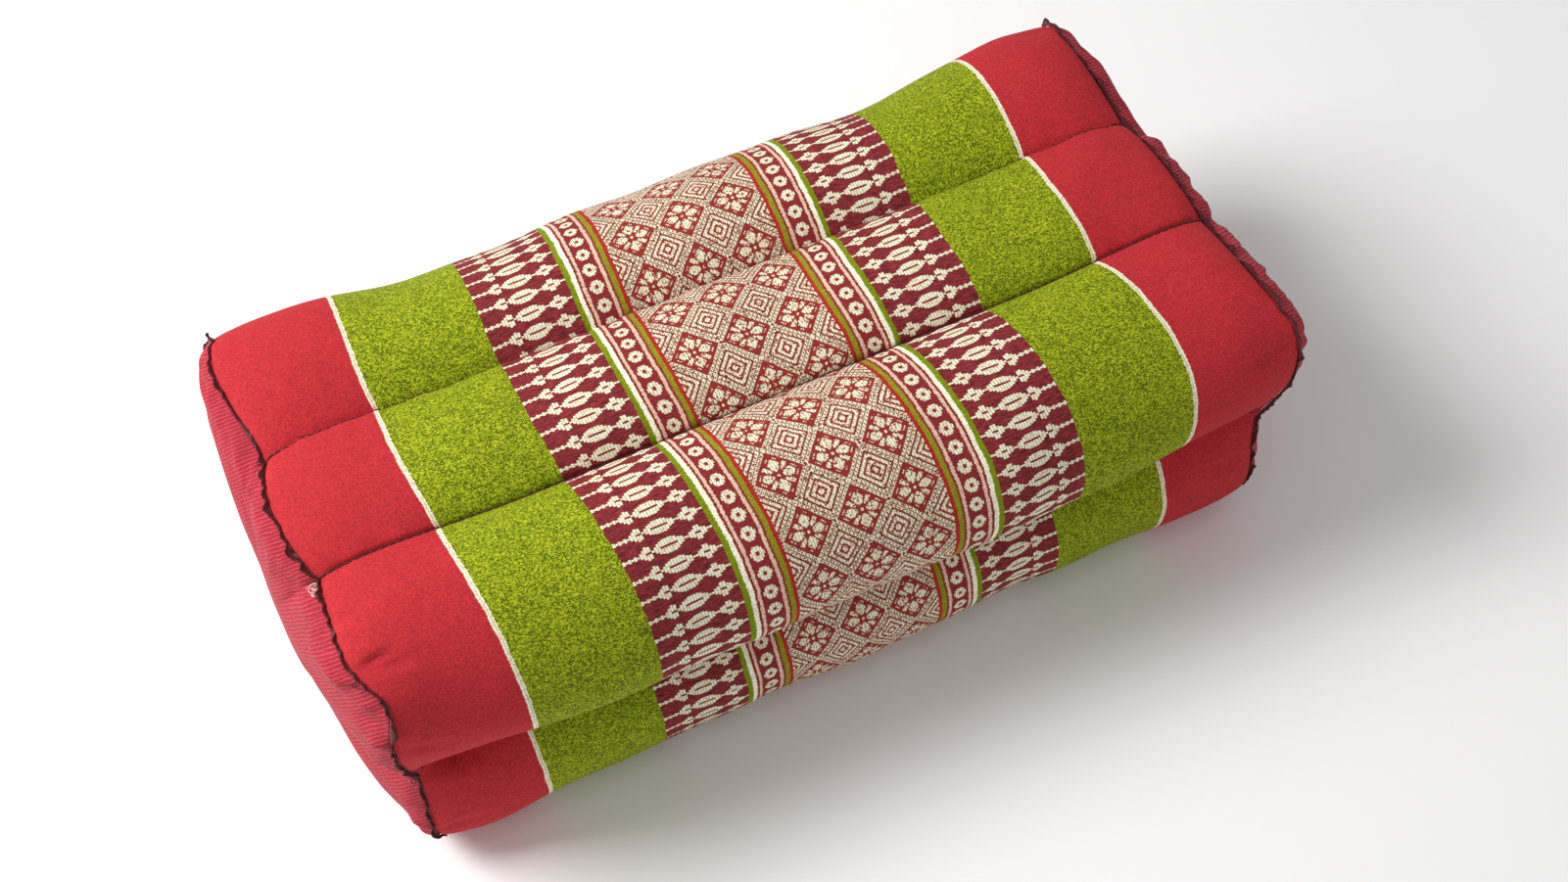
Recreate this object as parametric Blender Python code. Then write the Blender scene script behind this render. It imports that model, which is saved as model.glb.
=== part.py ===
"""A filled block cushion, sewn into three by two lengthwise channels.

The brocade cover wraps round the long sides and is stitched down along six seams, which divide the
filling into channels. A plain cloth panel closes each end, and the joined edges of cover and panel
stand up round it as a narrow ridge. The cushion lies on its flattened lower channels, length along X.
"""

import math
from collections import namedtuple

import bmesh
import bpy

MM = 0.001

# Driving sizes, in metres.
SEAM_LENGTH = 334 * MM  # between the end seams, where a channel seam meets them
SHOULDER = 23 * MM  # length over which the cover rounds down to the end seam
GROOVE_START = 14 * MM  # distance from the end at which the grooves begin to deepen
GROOVE_RUN = 75 * MM  # and at which they reach their full depth
SIDE_SHEAR = 0.022  # how far the ends are sewn out of square, per metre of width
UNDERCUT = 5.5 * MM  # how far each end draws in below the side seams
UNDERCUT_TOP = 85 * MM  # height where that starts
UNDERCUT_FULL = 45 * MM  # height where it is complete
FLOOR_PRESS = 2.5 * MM  # half the height over which a channel flattens on the floor
PANEL_BULGE = 15.0 * MM
PANEL_ROUND = 0.6  # below 1, the bulge rises quickly from the seam and is flatter in the middle
PANEL_THICK = 1.6 * MM
FOLD_DEPTH = 0.4  # share of the bulge lost in the crease between the side seams
FOLD_WIDTH = 11 * MM
FOLD_RUN = (20 * MM, 60 * MM)  # from the middle, where it starts and where it is deepest
RIDGE_HEIGHT = 2.0 * MM
RIDGE_THICK = 1.6 * MM
RIDGE_LEAN = 0.3 * MM  # how far its top edge leans out over the panel
GAP = 0.3 * MM  # between pieces that touch
MIDDLE_Z = 57 * MM  # height of the side seams at the ends

# Mesh steps.
STATIONS = 34  # along the length
END_CROWDING = 0.55  # 0 spaces the stations evenly, 1 crowds them most towards the ends
PANEL_RINGS = (1.0, 0.92, 0.74, 0.42)
RIDGE_PLEATS = 2  # ridge steps for each step of the cover's outline

# Each seam's place across the cushion as (y, z) in mm: at the end, at the shoulder and at mid length.
Seam = namedtuple("Seam", "name end shoulder middle")
SEAMS = (
    Seam("top_back", (26, 106), (27, 111.5), (27.5, 108)),
    Seam("top_front", (-26, 106), (-27, 111.5), (-27.5, 108)),
    Seam("side_front", (-80, 57), (-76.5, 58), (-71.5, 57.5)),
    Seam("bottom_front", (-26, 8), (-27, 4), (-27.5, 7.5)),
    Seam("bottom_back", (26, 8), (27, 4), (27.5, 7.5)),
    Seam("side_back", (80, 57), (76.5, 58), (72, 57.5)),
)

# Each channel's skin between two seams: its two Bezier handles as (y, z) in mm, in the same three places.
Channel = namedtuple("Channel", "name steps corner end shoulder middle")
CHANNELS = (
    Channel("top_middle", 9, False,
            ((13, 114), (-13, 114)), ((17, 120.5), (-17, 120.5)), ((18, 121.5), (-18, 121.5))),
    Channel("top_front", 15, True,
            ((-84, 124), (-99, 114)), ((-70, 136), (-115, 96)), ((-61, 143), (-130, 76))),
    Channel("bottom_front", 14, True,
            ((-90, 6), (-86, 0)), ((-109, 25), (-73, -23)), ((-116, 34), (-67, -30))),
    Channel("bottom_middle", 8, False,
            ((12.5, 5), (-12.5, 5)), ((17, -6), (-17, -6)), ((18, -7), (-18, -7))),
    Channel("bottom_back", 14, True,
            ((86, 0), (90, 5)), ((70, -22), (106, 26)), ((67, -30), (117, 34))),
    Channel("top_back", 15, True,
            ((99, 114), (84, 124)), ((119, 97), (72, 139)), ((129, 76), (61, 143))),
)

# How far each end seam bows out past the channel seams, in mm: once for a middle channel, and for a
# corner channel before, at and after its corner.
Bow = namedtuple("Bow", "left right")
BOWS = (
    Bow((5.0,), (-0.5,)),
    Bow((3.0, -4.0, 0.0), (-2.5, 0.0, 1.0)),
    Bow((2.5, 0.0, 1.0), (0.0, 0.0, 0.0)),
    Bow((3.0,), (1.0,)),
    Bow((3.0, 0.0, 3.0), (1.0, 0.0, 1.0)),
    Bow((3.0, 0.0, 4.2), (1.5, 0.0, -0.5)),
)
CORNER_BOW = 12  # the higher, the nearer to the corner its bow stays

# Low lumps in the filling: (height in mm, waves along the length, waves round the cover, phase).
Lump = namedtuple("Lump", "height along around phase")
LUMPS = (
    Lump(0.7, 2.3, 2.0, 0.4),
    Lump(0.5, 4.1, 5.0, 2.1),
    Lump(0.35, 7.3, 3.0, 4.4),
)

# Pleats of the ridge: (height in mm, waves round the panel, phase).
Pleat = namedtuple("Pleat", "height waves phase")
PLEATS = (
    Pleat(0.40, 9, 0.3),
    Pleat(0.30, 17, 1.9),
    Pleat(0.20, 26, 4.0),
)

BROCADE_GREEN = (0.235, 0.330, 0.012)
COTTON_RED = (0.530, 0.026, 0.045)
THREAD_BROWN = (0.100, 0.012, 0.014)


def mix(a, b, share):
    return a + (b - a) * share


def smooth(value, low, high):
    share = min(max((value - low) / (high - low), 0.0), 1.0)
    return share * share * (3 - 2 * share)


def shoulder_rise(inset):
    """0 at the end seam and 1 past the shoulder, with the round start of a stuffed edge."""
    left = max(1.0 - inset / SHOULDER, 0.0)
    return math.sqrt(1.0 - left * left)


def bezier(a, b, c, d, t):
    s = 1.0 - t
    return tuple(
        s * s * s * p + 3 * s * s * t * q + 3 * s * t * t * r + t * t * t * u
        for p, q, r, u in zip(a, b, c, d)
    )


def channel_ends(index):
    """The two seams that a channel hangs between."""
    return SEAMS[index], SEAMS[(index + 1) % len(SEAMS)]


def outline_steps():
    """(channel number, share across the channel) for each point round the cover."""
    return [
        (index, step / channel.steps)
        for index, channel in enumerate(CHANNELS)
        for step in range(channel.steps)
    ]


def section_point(index, t, inset):
    """(y, z) of the cover in metres, at a share t across a channel and this far in from the end."""
    channel = CHANNELS[index]
    first, last = channel_ends(index)
    end, shoulder, middle = (
        bezier(getattr(first, place), *getattr(channel, place), getattr(last, place), t)
        for place in ("end", "shoulder", "middle")
    )
    rise = shoulder_rise(inset)
    groove = smooth(inset, GROOVE_START, GROOVE_RUN)
    y, z = (
        mix(e, mix(s, m, groove), rise) * MM for e, s, m in zip(end, shoulder, middle)
    )
    return y, z


def crest(index, t, inset):
    """0 on a seam and 1 at a channel's middle. At the end a corner channel has two humps and a corner."""
    single = math.sin(math.pi * t)
    if not CHANNELS[index].corner:
        return single
    return mix(abs(math.sin(2 * math.pi * t)), single, smooth(inset, 0.0, SHOULDER))


def bow(index, t, side, inset):
    """How far out the cloth reaches past the channel seams, at one end and this far in from it."""
    humps = BOWS[index].left if side < 0 else BOWS[index].right
    single = math.sin(math.pi * t)
    if not CHANNELS[index].corner:
        return humps[0] * single * MM
    before, corner, after = humps
    at_end = abs(math.sin(2 * math.pi * t)) * (before if t < 0.5 else after)
    at_end += corner * single ** CORNER_BOW
    inside = (before + after) / 2 * single
    return mix(at_end, inside, smooth(inset, 0.0, SHOULDER)) * MM


def settle(z):
    """Presses what would lie below the floor flat on to it, with a soft turn up beside it."""
    if z >= FLOOR_PRESS:
        return z
    if z <= -FLOOR_PRESS:
        return 0.0
    return (z + FLOOR_PRESS) ** 2 / (4 * FLOOR_PRESS)


def lump(along, around, steepness):
    """Unevenness of the filling, which dies out at the seams and at the ends."""
    return steepness * sum(
        row.height * MM * math.sin(row.along * along + row.around * around + row.phase)
        for row in LUMPS
    )


def cover_point(index, t, share):
    """A point of the cover. share runs from -1 at the left end to 1 at the right one."""
    inset = (1.0 - abs(share)) * SEAM_LENGTH / 2
    y, z = section_point(index, t, inset)
    centre_y, centre_z = 0.0, MIDDLE_Z
    across = math.hypot(y - centre_y, z - centre_z)
    around = math.atan2(z - centre_z, y - centre_y)
    hump = crest(index, t, inset)
    swell = 1.0 + lump(math.pi * share, around, hump * shoulder_rise(inset)) / across
    y = centre_y + (y - centre_y) * swell
    z = centre_z + (z - centre_z) * swell
    drawn_in = UNDERCUT * (1.0 - smooth(z, UNDERCUT_FULL, UNDERCUT_TOP))
    reach = SEAM_LENGTH / 2 + bow(index, t, share, inset) - drawn_in
    x = share * reach - SIDE_SHEAR * y
    return x, y, settle(z)


def station_shares():
    """Places along the length, closer together towards the ends."""
    shares = []
    for step in range(STATIONS + 1):
        even = 2.0 * step / STATIONS - 1.0
        crowded = math.sin(math.pi / 2 * even)
        shares.append(mix(even, crowded, END_CROWDING))
    return shares


def panel_point(index, t, ring, side, out):
    """A point of an end panel, this far out from the filling. ring is 1 at its seam and 0 in its centre."""
    x, y, z = cover_point(index, t, side)
    y *= ring
    z = MIDDLE_Z + (z - MIDDLE_Z) * ring
    rim_x = side * SEAM_LENGTH / 2
    level = (z - MIDDLE_Z) / FOLD_WIDTH
    fold = 1.0 - FOLD_DEPTH * math.exp(-level * level) * smooth(abs(y), *FOLD_RUN)
    bulge = PANEL_BULGE * (1.0 - ring * ring) ** PANEL_ROUND * fold
    x = mix(rim_x - SIDE_SHEAR * y, x, ring * ring * ring) + side * (bulge + out)
    return x, y, z


def skin(mesh, rows):
    """Joins rows of vertices, each a closed loop, into a tube of quads."""
    for near, far in zip(rows, rows[1:]):
        for step in range(len(near)):
            after = (step + 1) % len(near)
            mesh.faces.new((near[step], near[after], far[after], far[step]))


def loop_of(mesh, points):
    return [mesh.verts.new(point) for point in points]


def close_centre(mesh, loop, point):
    """Closes a loop with triangles round one point."""
    centre = mesh.verts.new(point)
    for step in range(len(loop)):
        mesh.faces.new((loop[step], loop[(step + 1) % len(loop)], centre))


def cover_mesh():
    """The filled cover: a loft through unlike sections, closed at both ends under the panels."""
    steps = outline_steps()
    mesh = bmesh.new()
    shares = station_shares()
    rows = [loop_of(mesh, [cover_point(i, t, s) for i, t in steps]) for s in shares]
    left = [
        loop_of(mesh, [panel_point(i, t, ring, -1, 0.0) for i, t in steps])
        for ring in PANEL_RINGS[:0:-1]
    ]
    right = [
        loop_of(mesh, [panel_point(i, t, ring, 1, 0.0) for i, t in steps])
        for ring in PANEL_RINGS[1:]
    ]
    skin(mesh, left + rows + right)
    for loop, side in ((left[0], -1), (right[-1], 1)):
        close_centre(mesh, loop, panel_point(0, 0.0, 0.0, side, 0.0))
    return mesh


def panel_mesh(side):
    """One end panel: a sheet that follows the face of the filling, its edge just inside the ridge.

    Its rows run the same way as the filling's, so that the quads of both are split alike.
    """
    steps = outline_steps()
    mesh = bmesh.new()
    first, last = (GAP, GAP + PANEL_THICK)[::-side]
    rows = [
        loop_of(mesh, [panel_point(i, t, ring, side, out) for i, t in steps])
        for out, rings in ((first, PANEL_RINGS[::-1]), (last, PANEL_RINGS))
        for ring in rings
    ]
    skin(mesh, rows)
    close_centre(mesh, rows[0], panel_point(0, 0.0, 0.0, side, first))
    close_centre(mesh, rows[-1], panel_point(0, 0.0, 0.0, side, last))
    return mesh


def fine_outline(side):
    """The end seam's points and their outward directions across the cushion, closer than the cover's."""
    steps = []
    for index, channel in enumerate(CHANNELS):
        count = channel.steps * RIDGE_PLEATS
        steps += [(index, step / count) for step in range(count)]
    points = []
    for index, t in steps:
        low, high = divmod(t * CHANNELS[index].steps, 1)
        here = cover_point(index, low / CHANNELS[index].steps, side)
        following = cover_point(index, (low + 1) / CHANNELS[index].steps, side)
        points.append(tuple(mix(a, b, high) for a, b in zip(here, following)))
    found = []
    for step, (x, y, z) in enumerate(points):
        _, y0, z0 = points[step - 2]
        _, y1, z1 = points[(step + 2) % len(points)]
        run = math.hypot(y1 - y0, z1 - z0)
        found.append(((x, y, z), ((z0 - z1) / run, (y1 - y0) / run)))
    return found


def ridge_mesh(side):
    """The joined edges of cover and panel, standing up round the end as one wavy strip."""
    mesh = bmesh.new()
    rows = [[], [], [], []]
    outline = fine_outline(side)
    for step, ((x, y, z), (ny, nz)) in enumerate(outline):
        turn = 2 * math.pi * step / len(outline)
        wave = sum(p.height * math.sin(p.waves * turn + p.phase) for p in PLEATS) * MM
        outward = -1.0 if ny * y + nz * (z - MIDDLE_Z) < 0 else 1.0
        tall = RIDGE_HEIGHT + 0.5 * wave
        corners = (
            (GAP, GAP),
            (GAP, GAP + RIDGE_THICK),
            (tall, GAP + RIDGE_THICK + RIDGE_LEAN + wave),
            (tall, GAP + RIDGE_LEAN + wave),
        )
        for row, (up, out) in zip(rows, corners):
            reach = up * outward
            row.append((x + side * out, y + ny * reach, z + nz * reach))
    loops = [loop_of(mesh, row) for row in rows]
    skin(mesh, loops + loops[:1])
    return mesh


def cloth_material(name, colour, roughness):
    material = bpy.data.materials.new(name)
    material.use_nodes = True
    shader = material.node_tree.nodes["Principled BSDF"]
    shader.inputs["Base Color"].default_value = (*colour, 1.0)
    shader.inputs["Roughness"].default_value = roughness
    shader.inputs["Metallic"].default_value = 0.0
    return material


def add_piece(collection, name, mesh, material):
    """Makes a named object of a bmesh, with its faces pointing out."""
    bmesh.ops.recalc_face_normals(mesh, faces=mesh.faces)
    data = bpy.data.meshes.new(name)
    mesh.to_mesh(data)
    mesh.free()
    data.materials.append(material)
    data.shade_smooth()
    piece = bpy.data.objects.new(name, data)
    collection.objects.link(piece)
    return piece


def centre_on_origin(pieces):
    """Moves all pieces together, so that the origin is below the middle of their box."""
    points = [vertex.co for piece in pieces for vertex in piece.data.vertices]
    for axis in (0, 1):
        low = min(point[axis] for point in points)
        high = max(point[axis] for point in points)
        middle = (low + high) / 2
        for point in points:
            point[axis] -= middle


def build():
    for old in list(bpy.data.objects):
        bpy.data.objects.remove(old)
    collection = bpy.data.collections.new("block_cushion")
    bpy.context.scene.collection.children.link(collection)
    brocade = cloth_material("brocade", BROCADE_GREEN, 0.85)
    cotton = cloth_material("red_cotton", COTTON_RED, 0.9)
    thread = cloth_material("overlock_thread", THREAD_BROWN, 0.9)
    pieces = [add_piece(collection, "cushion_body", cover_mesh(), brocade)]
    for name, side in (("left", -1), ("right", 1)):
        pieces.append(add_piece(collection, "end_panel_" + name, panel_mesh(side), cotton))
        pieces.append(add_piece(collection, "seam_ridge_" + name, ridge_mesh(side), thread))
    centre_on_origin(pieces)


build()
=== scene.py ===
"""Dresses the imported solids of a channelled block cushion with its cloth, seams and stitching.

The brocade cover, the two end panels, the ridges round them and the stitches are made from the same
sections as the solids, only finer. The cover's woven pattern follows a UV map in metres of cloth.
"""

import math
from collections import namedtuple
from functools import partial

import bmesh
import bpy
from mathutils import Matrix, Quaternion, Vector, noise


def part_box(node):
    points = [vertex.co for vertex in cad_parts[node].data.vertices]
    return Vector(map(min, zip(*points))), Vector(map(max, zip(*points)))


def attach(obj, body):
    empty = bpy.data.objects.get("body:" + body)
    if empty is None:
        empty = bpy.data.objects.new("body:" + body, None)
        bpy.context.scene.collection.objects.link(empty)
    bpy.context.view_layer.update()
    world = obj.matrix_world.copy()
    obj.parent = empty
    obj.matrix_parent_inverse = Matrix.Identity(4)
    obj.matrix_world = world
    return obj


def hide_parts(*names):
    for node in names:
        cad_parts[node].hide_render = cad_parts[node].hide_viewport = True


bl_info = {
    "name": "Block Cushion",
    "version": (1, 0, 0),
    "blender": (4, 5, 0),
    "location": "View3D > Sidebar > Cushion",
    "description": "Makes the cloth, seams and stitching of a block cushion sewn in channels",
    "category": "Object",
}

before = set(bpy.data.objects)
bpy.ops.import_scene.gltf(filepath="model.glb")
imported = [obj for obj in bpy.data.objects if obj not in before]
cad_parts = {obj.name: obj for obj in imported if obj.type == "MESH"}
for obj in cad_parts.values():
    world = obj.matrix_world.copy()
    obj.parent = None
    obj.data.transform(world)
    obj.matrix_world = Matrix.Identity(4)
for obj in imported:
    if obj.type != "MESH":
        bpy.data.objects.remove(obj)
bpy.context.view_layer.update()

MM = 0.001
BODY = "root"
CLOTH_MAP = "cloth"
SIDES = (("left", -1), ("right", 1))

# Shape of the filled cover, the same as its solid's, in metres unless said.
SHOULDER = 23 * MM
GROOVE_START = 14 * MM
GROOVE_RUN = 75 * MM
SIDE_SHEAR = 0.022
UNDERCUT = 5.5 * MM
UNDERCUT_TOP = 85 * MM
UNDERCUT_FULL = 45 * MM
FLOOR_PRESS = 2.5 * MM
PANEL_ROUND = 0.6
FOLD_DEPTH = 0.4
FOLD_WIDTH = 11 * MM
FOLD_RUN = (20 * MM, 60 * MM)
PANEL_SHEET = 1.2 * MM  # thickness of the cloth
PANEL_GATHER_RUN = 11 * MM  # how far from the ridge gathers die away
PANEL_START = 1.2 * MM  # how soon a panel's relief grows out of its seam
PANEL_CREASE_LEVEL = 1.5 * MM  # above the middle
PANEL_CREASE_WIDTH = 3.0 * MM
PANEL_CREASE_RUN = (10 * MM, 50 * MM)
PANEL_RIM = 0.05  # share of the panel in which it rises from behind the ridge
LOWER_LOBE = 1.6 * MM  # how far the panel's lower half stays behind its upper half
LOWER_LOBE_TURN = 10 * MM  # height over which it goes back
LOWER_LOBE_START = 12 * MM  # length from the seam over which it does
MIDDLE_Z = 57 * MM
GAP = 0.3 * MM
CREASE_WIDTH = 1.1 * MM  # half of the sharp crease that the stitches make
CALM_END = 9 * MM  # length beside the end seams in which creases and puckers die out

# Each seam's place across the cushion as (y, z) in mm: at the end, at the shoulder and at mid length.
Seam = namedtuple("Seam", "end shoulder middle")
SEAMS = (
    Seam((26, 106), (27, 111.5), (27.5, 108)),  # top back
    Seam((-26, 106), (-27, 111.5), (-27.5, 108)),  # top front
    Seam((-80, 57), (-76.5, 58), (-71.5, 57.5)),  # side front
    Seam((-26, 8), (-27, 4), (-27.5, 7.5)),  # bottom front
    Seam((26, 8), (27, 4), (27.5, 7.5)),  # bottom back
    Seam((80, 57), (76.5, 58), (72, 57.5)),  # side back
)

# Each channel's skin between two seams: its two Bezier handles as (y, z) in mm, in the same three places.
Channel = namedtuple("Channel", "steps corner end shoulder middle")
CHANNELS = (
    Channel(40, False,  # top middle
            ((13, 114), (-13, 114)), ((17, 120.5), (-17, 120.5)), ((18, 121.5), (-18, 121.5))),
    Channel(84, True,  # top front
            ((-84, 124), (-99, 114)), ((-70, 136), (-115, 96)), ((-61, 143), (-130, 76))),
    Channel(80, True,  # bottom front
            ((-90, 6), (-86, 0)), ((-109, 25), (-73, -23)), ((-116, 34), (-67, -30))),
    Channel(36, False,  # bottom middle
            ((12.5, 5), (-12.5, 5)), ((17, -6), (-17, -6)), ((18, -7), (-18, -7))),
    Channel(80, True,  # bottom back
            ((86, 0), (90, 5)), ((70, -22), (106, 26)), ((67, -30), (117, 34))),
    Channel(84, True,  # top back
            ((99, 114), (84, 124)), ((119, 97), (72, 139)), ((129, 76), (61, 143))),
)
JOIN_CHANNEL = 4  # the cover's own join lies in the seam before this channel, underneath

# How far each end seam bows out past the channel seams, in mm: once for a middle channel, and for a
# corner channel before, at and after its corner.
Bow = namedtuple("Bow", "left right")
BOWS = (
    Bow((5.0,), (-0.5,)),
    Bow((3.0, -4.0, 0.0), (-2.5, 0.0, 1.0)),
    Bow((2.5, 0.0, 1.0), (0.0, 0.0, 0.0)),
    Bow((3.0,), (1.0,)),
    Bow((3.0, 0.0, 3.0), (1.0, 0.0, 1.0)),
    Bow((3.0, 0.0, 4.2), (1.5, 0.0, -0.5)),
)
CORNER_BOW = 12  # the higher, the nearer to the corner its bow stays

# How the cloth lies on each channel: its drift towards +X in mm and its ease as a share of its
# length, at the channel's first seam and at its middle.
Lay = namedtuple("Lay", "drift_seam drift_middle ease_seam ease_middle")
LAYS = (
    Lay(-1.3, -2.8, 0.011, 0.003),
    Lay(-1.7, 2.2, -0.004, 0.003),
    Lay(-0.6, -1.0, -0.018, -0.020),
    Lay(0.0, 0.0, -0.010, 0.0),
    Lay(0.0, 0.0, 0.0, 0.005),
    Lay(0.4, 1.6, 0.008, 0.014),
)

# Low lumps in the filling: (height in mm, waves along the length, waves round the cover, phase).
Lump = namedtuple("Lump", "height along around phase")
LUMPS = (
    Lump(0.7, 2.3, 2.0, 0.4),
    Lump(0.5, 4.1, 5.0, 2.1),
    Lump(0.35, 7.3, 3.0, 4.4),
)

# Dents and creases of the cover. across is in mm round the cover from the channel's
# first seam, or if below 0 from its last, x in mm along the cushion, turn in degrees, and depth,
# long and wide in mm.
Dent = namedtuple("Dent", "channel across x turn depth long wide")
DENTS = (
    Dent(2, 4.0, -153.0, 8, 7.0, 8.0, 3.6),
    Dent(1, -3.5, -154.0, -6, 6.0, 6.5, 4.0),
    Dent(2, 3.0, -140.0, 4, 1.2, 10.0, 2.5),
    Dent(2, 34.0, -160.0, -10, 1.3, 8.0, 2.2),
    Dent(2, 44.0, -158.0, 14, 1.0, 9.0, 2.0),
    Dent(1, 43.0, -160.0, -6, 2.2, 6.0, 1.6),
    Dent(1, 48.0, -157.0, 10, 1.6, 7.0, 2.0),
    Dent(1, 88.0, -158.0, 12, 0.8, 8.0, 2.6),
    Dent(1, 22.0, -161.0, -14, 0.7, 6.0, 2.0),
    Dent(1, 30.0, 160.0, 10, 0.9, 7.0, 2.2),
    Dent(1, 74.0, 158.0, -12, 1.0, 8.0, 2.4),
    Dent(0, 20.0, 159.0, 8, 0.7, 7.0, 2.4),
    Dent(2, 20.0, 156.0, 6, 1.2, 9.0, 2.6),
    Dent(2, 50.0, 158.0, -8, 1.0, 8.0, 2.4),
    Dent(5, 40.0, -160.0, 9, 0.9, 7.0, 2.4),
    Dent(5, 70.0, 159.0, -9, 0.9, 7.0, 2.4),
    Dent(4, 40.0, -158.0, 12, 1.1, 8.0, 2.6),
    Dent(4, 80.0, 158.0, -6, 1.1, 8.0, 2.6),
)

# Ripples of the cloth: height as a share or in mm, length along the seam and away from it in mm, and
# what sets one apart from another.
Ripple = namedtuple("Ripple", "height along away seed shift", defaults=(0.0,))
PUCKERS = (Ripple(0.9, 5.2, 22.0, 7.3), Ripple(1.1, 13.0, 30.0, 3.1, 40.0))
PUCKER_RUN = 6.5 * MM  # how far from a seam puckers die away
PANEL_GATHERS = (Ripple(1.0, 9.5, 16.0, 9.0), Ripple(0.6, 9.5 / 2.3, 9.0, 17.0))
PANEL_SOFT = Ripple(0.9, 26.0, 20.0, 5.0)
PANEL_SOFT_START = 18 * MM

# Waves, in mm: how far an edge strays and over what length.
Wave = namedtuple("Wave", "reach length")
CREASE_STRAY = Wave(2.2, 14.0)  # of the end panels' crease, up and down
CREASE_SEED = 3.0
RIDGE_WAVES = (Wave(1.5, 17.0), Wave(2.2, 6.0), Wave(1.5, 2.8))
RIDGE_RISES = (Wave(0.7, 9.0), Wave(0.56, 2.2))  # of its top, up and down
RIDGE_SEED = 4.0
EAR_HEIGHT = 2.2  # of the ridge at its top back corner
EAR_WIDTH = 3.5
RIDGE_LEAN = 0.2 * MM
RIDGE_CLOTH = 0.9 * MM  # width of cloth between two lines of its profile
# The ridge's profile: shares of its height, of its lean and of its thickness. Its foot is a gap up.
RIDGE_PROFILE = (
    (0.0, 0.0, 0.0), (0.6, 0.6, 0.0), (0.93, 1.0, 0.0), (1.0, 1.0, 0.3), (1.0, 1.0, 0.7),
    (0.93, 1.0, 1.0), (0.6, 0.6, 1.0), (0.0, 0.0, 1.0), (0.0, 0.0, 0.0),
)

# A stitch seen from the side: share of its length, and how deep it lies in mm. It lies lifted off the
# crease's bottom, near its mouth, so that its dark thread also stands for the crease's shadow as painted
# shade.
STITCH_ARCH = ((-0.44, 0.2), (-0.3, -0.45), (0.0, -0.6), (0.3, -0.45), (0.44, 0.2))
OVERLOCK_REACH = 0.45 * MM  # how far down each side of the ridge its thread goes
OVERLOCK_STRAY = Wave(0.35, 3.0)  # here the reach is a share of its own
# One turn of it: its foot, its shoulder and its top over the ridge's edge.
TURN_FOOT = 0.05 * MM  # clear of the cloth
TURN_SHOULDER = 0.12 * MM
TURN_TOP = 0.18 * MM
TURN_LEVEL = 0.96  # of the shoulder, as a share of the ridge's height
TURN_SLANT = 0.4  # of the shoulder, as a share of the foot's

# Loose thread ends: the seam that each hangs by, and the size of its tangle in mm.
ThreadEnd = namedtuple("ThreadEnd", "piece seam t side lift radius length seed")
THREAD_ENDS = (
    ThreadEnd("thread_ends_pale", 1, 0.015, -1, 2.2, 1.5, 1.4, 1.0),
    ThreadEnd("thread_ends_pale", 1, 0.03, -1, 2.0, 1.0, 1.0, 4.2),
    ThreadEnd("thread_ends_dark", 1, 0.0, -1, 1.8, 1.3, 1.6, 2.6),
    ThreadEnd("thread_ends_dark", 0, 0.0, -1, 1.6, 1.0, 1.5, 5.1),
    ThreadEnd("thread_ends_dark", 1, 0.36, -1, 1.6, 0.9, 1.6, 7.3),
    ThreadEnd("thread_ends_dark", 2, 0.0, -1, 1.6, 1.0, 1.4, 9.4),
    ThreadEnd("thread_ends_dark", 1, 0.0, 1, 1.6, 0.9, 1.4, 11.2),
    ThreadEnd("thread_ends_dark", 5, 0.0, 1, 1.6, 1.0, 1.5, 13.9),
)
# Each winds round in a curl, with a stray wave in it and a rise and fall across it.
CURL_STEPS = 26
CURL_TURNS = 2.2
CURL_STRAY = 3.1
CURL_SEED = 1
CURL_LIFT = 0.4
CURL_START = 0.3  # share of the thread in which it winds up to its full size
CURL_FOOT = 0.25  # share of its length at which it leaves its seam
DARK_END = 0.8  # thickness of a dark end, as a share of the overlock thread's
END_LEAN = (0.8, 8)  # its way out: along the cushion, and away from it for each metre across

# Mesh steps.
COVER_COLUMNS = 230
SEAM_CROWDING = 0.75
END_CROWDING = 0.5
PANEL_RINGS = 48
PANEL_CENTRE = 0.001  # share of the panel that counts as its centre
PANEL_CALM = 0.2  # share of it round the centre in which its relief dies out
RIDGE_STEPS = 760
RUN_REACH = 3  # steps to each side over which the ridge's direction is taken
PLACING_STEPS = 16  # a coarse grid, enough to find the cover's reach
PLACING_SHARES = (-1.0, -0.97, -0.9, -0.7, -0.4, 0.0, 0.4, 0.7, 0.9, 0.97, 1.0)
MERGE_CLOTH = 0.02 * MM  # distances under which points are merged
MERGE_RIDGE = 0.01 * MM
MERGE_THREAD = 0.004 * MM
# The cover's closed end behind each panel: place of each ring, and how far it keeps clear of the
# panel's creases in mm.
CAP_RINGS = ((0.985, 0.2), (0.955, 3.0), (0.9, 6.5), (0.8, 8.0), (0.55, 8.0))
CAP_MIDDLE = 8.0

# Woven stripes from the middle of the cover outwards: name of the colour, and its outer edge in mm.
Stripe = namedtuple("Stripe", "colour edge")
NARROW_STRIPES = (
    Stripe("field_ground", 29.3),
    Stripe("bright_red", 30.7),
    Stripe("olive", 32.4),
    Stripe("dark_red", 33.3),
    Stripe("pink", 34.5),
    Stripe("band_red", 41.6),
    Stripe("pink", 42.7),
    Stripe("band_red", 43.7),
    Stripe("cream", 45.4),
    Stripe("green", 47.3),
)
NARROW_START = 28.0  # where the ramp of narrow stripes begins, in mm
NARROW_END = 47.8
COMB_INNER = NARROW_STRIPES[-1].edge
COMB_OUTER = 79.7
EDGE_STRIPE = 124.8  # middle of the cream stripe between green and red
EDGE_STRIPE_HALF = 0.85

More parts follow.
